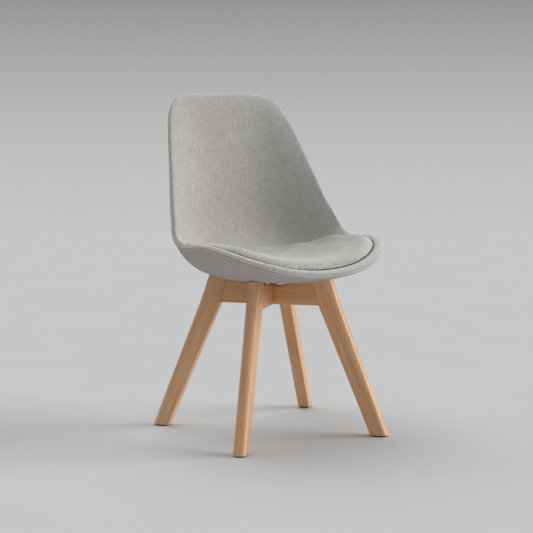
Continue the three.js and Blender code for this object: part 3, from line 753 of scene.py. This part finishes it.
def spacer_hole(angle):
    """Upright cutter round the spacer at an angle on the screws' circle."""
    x = SCREW_CIRCLE_RADIUS * math.cos(math.radians(angle))
    y = BASE_OFFSET + SCREW_CIRCLE_RADIUS * math.sin(math.radians(angle))
    turn = np.linspace(0, 2 * math.pi, SPACER_HOLE_SIDES, endpoint=False)
    points = np.concatenate([
        np.stack([x + SPACER_HOLE_RADIUS * np.cos(turn), y + SPACER_HOLE_RADIUS * np.sin(turn),
                  np.full(SPACER_HOLE_SIDES, height)], 1) for height in SPACER_HOLE_HEIGHTS
    ])
    faces = capped_faces(len(SPACER_HOLE_HEIGHTS), SPACER_HOLE_SIDES)
    return weld(to_object("hole", points, faces, under_cloth))


def outer_cover(ribs):
    """Smooth cloth of the back and underside, with holes round the four spacers."""
    sheet = Layer(ribs)
    under_core = -HALF_CORE - FIT_GAP
    step = ribs.inset_share(FOAM_WRAP_INSET + FIT_GAP)
    bottom = -math.pi / 2
    edge = ribs.hem - GROOVE_WIDTH / 2 / ROLL_RADIUS
    for ring in INNER_RINGS:
        sheet.ring(ribs.ring_share(ring), -OUTER_FACE)
    add_roll(sheet, bottom, edge - ROLL_END / ROLL_RADIUS, 0, UNDER_ROLL_STEPS)
    add_fold(sheet, edge, -1)
    add_roll(sheet, edge, bottom, COVER_THICKNESS, UNDER_ROLL_STEPS)
    sheet.ring(step, COVER_THICKNESS - OUTER_FACE)
    sheet.ring(step, under_core)
    for ring in INNER_RINGS[::-1]:
        sheet.ring(ribs.ring_share(ring), under_core)
    cover = baked(subdivide(sheet.build("outer_cover_cloth", under_cloth)))
    for angle, _ in ARMS.values():
        tool = spacer_hole(angle)
        modifier = cover.modifiers.new("hole", "BOOLEAN")
        modifier.operation, modifier.object, modifier.solver = "DIFFERENCE", tool, "EXACT"
        baked(cover)
        bpy.data.objects.remove(tool)
    cover.data.shade_smooth()
    return cover


def rim_tube(name, ribs, from_hem, depth, radius, material):
    """Closed tube round the whole rim, at a distance up the edge from the hem."""
    angle = ribs.hem + from_hem / ROLL_RADIUS
    inset = ROLL_RADIUS - (ROLL_RADIUS - depth) * np.cos(angle)
    offset = ROLL_MIDDLE + (ROLL_RADIUS - depth) * np.sin(angle)
    tube = Layer(ribs)
    around = len(ribs.across)
    cloth = []
    for turn in np.linspace(0, 2 * math.pi, SEAM_SIDES, endpoint=False):
        share = ribs.inset_share(inset + radius * math.cos(turn))
        tube.ring(share, offset + radius * math.sin(turn))
        cloth.append(np.stack([ribs.run, np.full(around, radius * turn)], 1))
    faces = ring_faces(SEAM_SIDES, around, closed=True)
    points = np.concatenate(tube.points)
    return weld(to_object(name, points, faces, material, np.concatenate(cloth)))


ribs = Ribs(RIBS_PER_SIDE)
liner = place_piece(liner_cloth(ribs), "linen", "inner_cover")
wadding = place_piece(liner_foam(ribs), "foam", "inner_foam")
cover = place_piece(outer_cover(ribs), "under_cloth", "outer_cover")

seam_ribs = Ribs(SEAM_RIBS_PER_SIDE)
for name, from_hem in (("upper", PIPING_FROM_HEM), ("lower", -PIPING_FROM_HEM)):
    piping = rim_tube(f"rim_piping_{name}", seam_ribs, from_hem, PIPING_DEPTH, PIPING_RADIUS,
                      piping_cloth)
    place_piece(piping, "linen")
# Tube in the rim's groove, painted shade of the groove
groove_shade = rim_tube("rim_groove_shade", seam_ribs, 0, GROOVE_SHADE_DEPTH, GROOVE_SHADE_RADIUS, groove_shade_cloth)
place_piece(groove_shade, "linen")


# Seat pad

def pad_half(is_rear):
    """Reach and power of the front or rear half of the pad's outline."""
    return (np.where(is_rear, PAD_REAR_SHARE, PAD_FRONT_SHARE),
            np.where(is_rear, PAD_REAR_POWER, PAD_FRONT_POWER))


def pad_plan(angle, share):
    """Place on the flat cloth of the seat, at a share of the way out to the pad's edge."""
    aside, ahead = np.cos(angle), np.sin(angle)
    reach_share, power = pad_half(ahead > 0)
    aside, ahead = [np.sign(way) * np.abs(way) ** (2 / power) * share for way in (aside, ahead)]
    station = LAST_STATION * (PAD_CENTRE_SHARE + reach_share * ahead)
    return np.stack([PAD_HALF_WIDTH * aside, length_at(station)], -1)


def pad_share(flat):
    """Share of the way out to the pad's edge of places on the flat cloth."""
    ahead = station_at(flat[:, 1]) / LAST_STATION - PAD_CENTRE_SHARE
    reach_share, power = pad_half(ahead > 0)
    aside = flat[:, 0] / PAD_HALF_WIDTH
    return (np.abs(aside) ** power + np.abs(ahead / reach_share) ** power) ** (1 / power)


def pad_height(angle, share):
    """Height that the section's shares are of: the pad is dished at the middle of its rear edge."""
    turn = np.degrees(np.arctan2(np.sin(angle), np.abs(np.cos(angle))))
    near_edge = np.interp(turn, PAD_TURNS, PAD_TURN_HEIGHTS)
    return (PAD_HEIGHT - PAD_SWELL) * (1 + (near_edge - 1) * share**2)


def seated(flat, height):
    """Point over the linen of the seat from a place on its flat cloth."""
    offset = INNER_FACE + FIT_GAP + height
    return shell_point(flat[..., 0], station_at(flat[..., 1]), offset)


def flat_pad():
    """The pad as cut, laid on a level table."""
    rows = np.linspace(0, len(PAD_SECTION_SHARES) - 1, PAD_SECTION_STEPS)
    angle = np.linspace(0, 2 * math.pi, PAD_AROUND, endpoint=False)
    points = []
    for out, up in spline(PAD_SECTION_SHARES)(rows):
        points.append(np.column_stack([pad_plan(angle, out), up * pad_height(angle, out)]))
    for out in PAD_BOTTOM_SHARES:
        points.append(np.column_stack([pad_plan(angle, out), np.zeros(PAD_AROUND)]))
    faces = ring_faces(len(points), PAD_AROUND)
    return weld(to_object("seat_pad_cushion", np.concatenate(points), faces, linen))


def even_out(mesh, moved):
    """Averages each point's move with its neighbours', so the swelling has no small creases."""
    edges = np.empty(len(mesh.edges) * 2, int)
    mesh.edges.foreach_get("vertices", edges)
    edges = edges.reshape(-1, 2)
    both = np.concatenate([edges, edges[:, ::-1]])
    count = np.bincount(both[:, 0], minlength=len(moved))[:, None]
    for _ in range(STUFFING_EVEN_ROUNDS):
        around = np.stack([
            np.bincount(both[:, 0], weights=moved[both[:, 1], axis], minlength=len(moved))
            for axis in range(3)
        ], 1)
        moved = 0.5 * moved + 0.5 * around / count
    return moved


def stuffing_moves(pad):
    """Points of an evenly meshed double of the pad, and how a cloth simulation moves them."""
    double = bpy.data.objects.new("pad_double", pad.data.copy())
    bpy.context.scene.collection.objects.link(double)
    remesh = double.modifiers.new("even", "REMESH")
    remesh.mode, remesh.voxel_size = "VOXEL", STUFFING_VOXEL * METRE
    baked(double)
    smooth = double.modifiers.new("even", "SMOOTH")
    smooth.factor, smooth.iterations = STUFFING_SMOOTHING
    baked(double)
    before = coordinates(double.data)
    held = double.vertex_groups.new(name="held")
    low = np.nonzero(before[:, 2] < STUFFING_HELD_HEIGHT * METRE)[0]
    held.add(low.tolist(), 1.0, "ADD")
    simulation = double.modifiers.new("stuffing", "CLOTH").settings
    for key, value in STUFFING.items():
        setattr(simulation, key, value)
    simulation.effector_weights.gravity = 0
    for number in range(1, STUFFING_FRAMES + 1):
        bpy.context.scene.frame_set(number)
    baked(double)
    bpy.context.scene.frame_set(1)
    moved = even_out(double.data, coordinates(double.data) - before)
    bpy.data.objects.remove(double)
    return before, moved


def stuffed(pad):
    """Swells the pad as a cloth simulation says, up to a cap, with its seamed edge held."""
    before, moved = stuffing_moves(pad)
    tree = KDTree(len(before))
    for i, point in enumerate(before):
        tree.insert(point, i)
    tree.balance()
    points = coordinates(pad.data)
    near = [[i for _, i, _ in tree.find_n(point, STUFFING_NEIGHBOURS)] for point in points]
    moves = moved[near].mean(1)
    hold = np.clip((1 - pad_share(points[:, :2] / METRE)) / PAD_EDGE_HOLD, 0, 1)[:, None]
    far = np.linalg.norm(moves, axis=1, keepdims=True)
    points += moves * hold * np.minimum(1, PAD_SWELL_CAP * METRE / np.maximum(far, 1e-9))
    pad.data.vertices.foreach_set("co", points.ravel())
    return pad


def on_the_seat(pad):
    """Lays the stuffed pad into the bowl of the seat."""
    flat = coordinates(pad.data) / METRE
    lay_on_cloth(pad.data, flat[:, :2])
    pad.data.vertices.foreach_set("co", (seated(flat[:, :2], flat[:, 2]) * METRE).ravel())
    pad.data.update()
    pad.data.shade_smooth()
    return pad


def pad_shadow_line():
    """Dark tube along the pad's edge: painted shade of the gap between the pad and the seat."""
    angle = np.linspace(0, 2 * math.pi, PAD_SHADOW_LINE_AROUND, endpoint=False)
    run = np.linspace(0, PAD_SHADOW_LINE_LENGTH, PAD_SHADOW_LINE_AROUND)
    points, cloth = [], []
    for turn in np.linspace(0, 2 * math.pi, PAD_SHADOW_LINE_SIDES, endpoint=False):
        aside, up = PAD_SHADOW_LINE_RADIUS * math.cos(turn), PAD_SHADOW_LINE_RADIUS * math.sin(turn)
        plan = pad_plan(angle, PAD_SHADOW_LINE_SHARE + aside / PAD_HALF_WIDTH)
        points.append(seated(plan, np.full(PAD_SHADOW_LINE_AROUND, PAD_SHADOW_LINE_HEIGHT + up)))
        cloth.append(np.stack([run, np.full(PAD_SHADOW_LINE_AROUND, PAD_SHADOW_LINE_RADIUS * turn)], 1))
    faces = ring_faces(PAD_SHADOW_LINE_SIDES, PAD_SHADOW_LINE_AROUND, closed=True)
    points, cloth = np.concatenate(points), np.concatenate(cloth)
    return weld(to_object("seat_pad_shadow_line", points, faces, pad_shadow_cloth, cloth))


pad = flat_pad()
stuffed(pad)
on_the_seat(pad)
subdivide(pad)
place_piece(pad, "linen", "pad_cover", "pad_foam")
place_piece(pad_shadow_line(), "linen")


# Wooden base

def joint_radius_at(height):
    """Distance from the base's axis to the plane where a rail ends and a leg begins."""
    return SHOULDER_RADIUS - SHOULDER_WIDTH / 2 - JOINT_LEAN_SHARE * (height - RAIL_BOTTOM)


def leg_inner_at(height):
    foot = FOOT_RADIUS - FOOT_WIDTH / 2
    below = foot + (joint_radius_at(RAIL_BOTTOM) - foot) * height / RAIL_BOTTOM
    return joint_radius_at(height) if height > RAIL_BOTTOM else below


def leg_outer_at(height):
    foot, shoulder = FOOT_RADIUS + FOOT_WIDTH / 2, SHOULDER_RADIUS + SHOULDER_WIDTH / 2
    return foot + (shoulder - foot) * height / RAIL_BOTTOM


def arm_underside(radius):
    """Lowest height of the outer cover over the four arms, at a distance from the base's axis."""
    side = radius * math.sqrt(0.5)
    return min(shell_height(side, BASE_OFFSET - side, -OUTER_FACE),
               shell_height(side, BASE_OFFSET + side, -OUTER_FACE))


JOINT_TOP = arm_underside(joint_radius_at(RAIL_TOP)) - LEG_TOP_CLEARANCE
LEG_TOP_OUTER = arm_underside(leg_outer_at(JOINT_TOP)) - LEG_TOP_CLEARANCE
TOP_SLOPE = (LEG_TOP_OUTER - JOINT_TOP) / (leg_outer_at(JOINT_TOP) - joint_radius_at(JOINT_TOP))


def leg_outline(near, far):
    """Level outline of a leg between two radii, its outer edges the rounder ones."""
    half = LEG_THICKNESS / 2
    corners = (
        (far - LEG_OUTER_EDGE, half - LEG_OUTER_EDGE, LEG_OUTER_EDGE, 0),
        (near + LEG_INNER_EDGE, half - LEG_INNER_EDGE, LEG_INNER_EDGE, 1),
        (near + LEG_INNER_EDGE, LEG_INNER_EDGE - half, LEG_INNER_EDGE, 2),
        (far - LEG_OUTER_EDGE, LEG_OUTER_EDGE - half, LEG_OUTER_EDGE, 3),
    )
    points = []
    for x, y, radius, quarter in corners:
        turn = (quarter + np.linspace(0, 1, LEG_CORNER_POINTS)) * math.pi / 2
        points.append(np.stack([x + radius * np.cos(turn), y + radius * np.sin(turn)], 1))
    return np.concatenate(points)


def leg(name, arm):
    """Leg of one arm: level rings from the sole to the rail, and a top cut to the shell."""
    angle, foot_shift = ARMS[arm]
    rings = []
    for height in np.linspace(SOLE_HEIGHT, RAIL_BOTTOM, LEG_RINGS):
        outline = leg_outline(leg_inner_at(height), leg_outer_at(height))
        rings.append(np.column_stack([outline, np.full(len(outline), height)]))
    joint = joint_radius_at(JOINT_TOP)
    top = leg_outline(joint, leg_outer_at(JOINT_TOP))
    rings.append(np.column_stack([top, JOINT_TOP + TOP_SLOPE * (top[:, 0] - joint)]))
    around = len(top)
    points = np.concatenate(rings)
    points[:, 1] += foot_shift * (1 - points[:, 2] / LEAN_HEIGHT)
    turn = math.radians(angle)
    x, y = points[:, 0].copy(), points[:, 1].copy()
    points[:, 0] = x * math.cos(turn) - y * math.sin(turn)
    points[:, 1] = x * math.sin(turn) + y * math.cos(turn) + BASE_OFFSET
    foot, top_middle = points[:around].mean(0), points[-around:].mean(0)
    wood = beech(f"beech_{name}", top_middle - foot, seed=angle / 45)
    obj = weld(to_object(name, points, capped_faces(len(rings), around), wood))
    obj.data.set_sharp_from_angle(angle=LEG_SHARP_ANGLE)
    bevel = obj.modifiers.new("eased_edges", "BEVEL")
    bevel.width, bevel.segments = LEG_EASING * METRE, 2
    bevel.limit_method, bevel.angle_limit = "ANGLE", LEG_EASED_ANGLE
    return obj


for arm in ARMS:
    place_piece(leg(f"turned_leg_{arm}", arm), "beech", f"leg_{arm}")


# Solids of the frame that keep their shape

def repaint(node, material):
    obj = frame["nodes"][node]
    for slot in obj.material_slots:
        slot.material = material


repaint("rail_upper", beech("beech_rail_upper", (1, 1, 0), 11, RAIL_TINT))
repaint("rail_lower", beech("beech_rail_lower", (-1, 1, 0), 12, RAIL_TINT))
repaint("shell_core", shell_plastic)
repaint("lap_screw", steel)
dowel_wood = beech("beech_dowel", (1, 0, 0.3), 13)
for arm in ARMS:
    repaint(f"foot_pad_{arm}", rubber)
    repaint(f"shell_spacer_{arm}", rubber)
    repaint(f"shell_screw_{arm}", steel)
    repaint(f"screw_washer_{arm}", steel)
    repaint(f"shell_insert_{arm}", brass)
    repaint(f"dowel_{arm}_low", dowel_wood)
    repaint(f"dowel_{arm}_high", dowel_wood)


# Stage, light and camera

CAMERA_PLACE = Vector((-1.692, -2.9337, 0.797))
CAMERA_RIGHT = Vector((0.8675, -0.4974, -0.0023))
CAMERA_UP = Vector((0.0594, 0.0989, 0.9933))
CAMERA_BACK = Vector((-0.4939, -0.8619, 0.1153))
FOCAL_SHARE = 1400 / 533
SENSOR = 36
FLOOR_RADII = (0, 0.5, 1, 1.5, 2, 3, 4, 5, 6, 7)
FLOOR_SIDES = 64
FLOOR_FADE = (2.6, 6.5)
# Each light: the direction towards it, how wide it looks, the share of white that it gives a face
# square to it, and its tint
LIGHTS = {
    "key": (Vector((0.8, -0.4, 0.42)), math.radians(40), 0.72, (1, 0.985, 0.965)),
    "overhead": (Vector((-0.05, 0.4, 0.91)), math.radians(70), 0.66, (0.96, 0.985, 1)),
    "fill": (Vector((-0.35, -0.9, 0.2)), math.radians(60), 0.11, (1, 1, 1)),
}
LIGHT_DISTANCE = 3
AMBIENT = 0.15
# Greys of the floor and of the backdrop, which is seen up to a slope either side of level
FLOOR_TONE = 193
BACKDROP_SLOPE = 0.2
# The backdrop is painted darker upwards: a painted falloff of light
BACKDROP_STOPS = ((0.0, 199), (0.15, 199), (0.26, 199), (0.365, 194), (0.47, 186), (0.58, 169),
                  (0.68, 150), (1.0, 138))


def neutral(level):
    return linear(level, level, level)


def floor():
    """Round floor that fades into the backdrop."""
    turn = np.linspace(0, 2 * math.pi, FLOOR_SIDES, endpoint=False)
    points = np.concatenate([
        np.column_stack([r * np.cos(turn), r * np.sin(turn), np.zeros(FLOOR_SIDES)])
        for r in np.array(FLOOR_RADII) / METRE
    ])
    finish = Finish("studio_floor", Roughness=0.9, Specular_IOR_Level=0.1)
    place = finish.place()
    mottle = finish.noise(finish.mapped(place, (3, 3, 3)), detail=2)
    stops = (0.3, neutral(FLOOR_TONE - 1)), (0.7, neutral(FLOOR_TONE + 1))
    finish.set("Base Color", finish.ramp(mottle, *stops))
    distance = finish.add("ShaderNodeVectorMath", {0: place}, operation="LENGTH").outputs["Value"]
    fade = finish.range(distance, *FLOOR_FADE)
    clear = finish.add("ShaderNodeBsdfTransparent")
    sides = {0: fade, 1: finish.shader.outputs[0], 2: clear.outputs[0]}
    blend = finish.add("ShaderNodeMixShader", sides)
    output = finish.tree.nodes["Material Output"]
    finish.tree.links.new(blend.outputs[0], output.inputs["Surface"])
    faces = ring_faces(len(FLOOR_RADII), FLOOR_SIDES)
    obj = weld(to_object("studio_floor", points, faces, finish.material))


def world():
    """Even light for the object, and the backdrop's soft gradient where it is seen directly."""
    setting = bpy.data.worlds.new("studio")
    setting.use_nodes = True
    bpy.context.scene.world = setting
    tree = setting.node_tree
    tree.nodes.clear()

    direction = add_node(tree, "ShaderNodeTexCoord").outputs["Generated"]
    slope = add_node(tree, "ShaderNodeSeparateXYZ", {0: direction}).outputs["Z"]
    share = add_node(tree, "ShaderNodeMapRange", {
        "Value": slope, "From Min": -BACKDROP_SLOPE, "From Max": BACKDROP_SLOPE}).outputs["Result"]
    # Painted falloff of light: the backdrop's grey darkens upwards
    stops = [(position, neutral(level)) for position, level in BACKDROP_STOPS]
    colour = add_ramp(tree, share, stops)
    seen = add_node(tree, "ShaderNodeBackground", {"Color": colour, "Strength": 1.0})
    lit = add_node(tree, "ShaderNodeBackground", {"Color": (1, 1, 1, 1), "Strength": AMBIENT})
    rays = add_node(tree, "ShaderNodeLightPath").outputs
    sight = rays["Is Camera Ray"]
    for other in ("Is Glossy Ray", "Is Transmission Ray"):
        either = {0: sight, 1: rays[other]}
        sight = add_node(tree, "ShaderNodeMath", either, operation="MAXIMUM").outputs[0]
    sides = {0: sight, 1: lit.outputs[0], 2: seen.outputs[0]}
    mixed = add_node(tree, "ShaderNodeMixShader", sides)
    add_node(tree, "ShaderNodeOutputWorld", {"Surface": mixed.outputs[0]})


def soft_light(name, direction, spread, level, tint):
    """Sun lamp, which lights all places alike."""
    light = bpy.data.lights.new(name, "SUN")
    light.energy, light.angle, light.color = math.pi * level, spread, tint
    obj = bpy.data.objects.new(name, light)
    obj.rotation_euler = direction.to_track_quat("Z", "Y").to_euler()
    obj.location = direction.normalized() * LIGHT_DISTANCE
    bpy.context.scene.collection.objects.link(obj)


def camera():
    """Camera of the photograph."""
    lens = bpy.data.cameras.new("photo_camera")
    lens.sensor_fit, lens.sensor_width = "HORIZONTAL", SENSOR
    lens.lens = FOCAL_SHARE * SENSOR
    obj = bpy.data.objects.new("photo_camera", lens)
    turn = Matrix((CAMERA_RIGHT, CAMERA_UP, CAMERA_BACK)).transposed()
    obj.matrix_world = Matrix.Translation(CAMERA_PLACE) @ turn.to_4x4()
    bpy.context.scene.collection.objects.link(obj)
    bpy.context.scene.camera = obj


floor()
world()
for name, settings in LIGHTS.items():
    soft_light(name, *settings)
camera()
bpy.context.scene.view_settings.view_transform = "Standard"
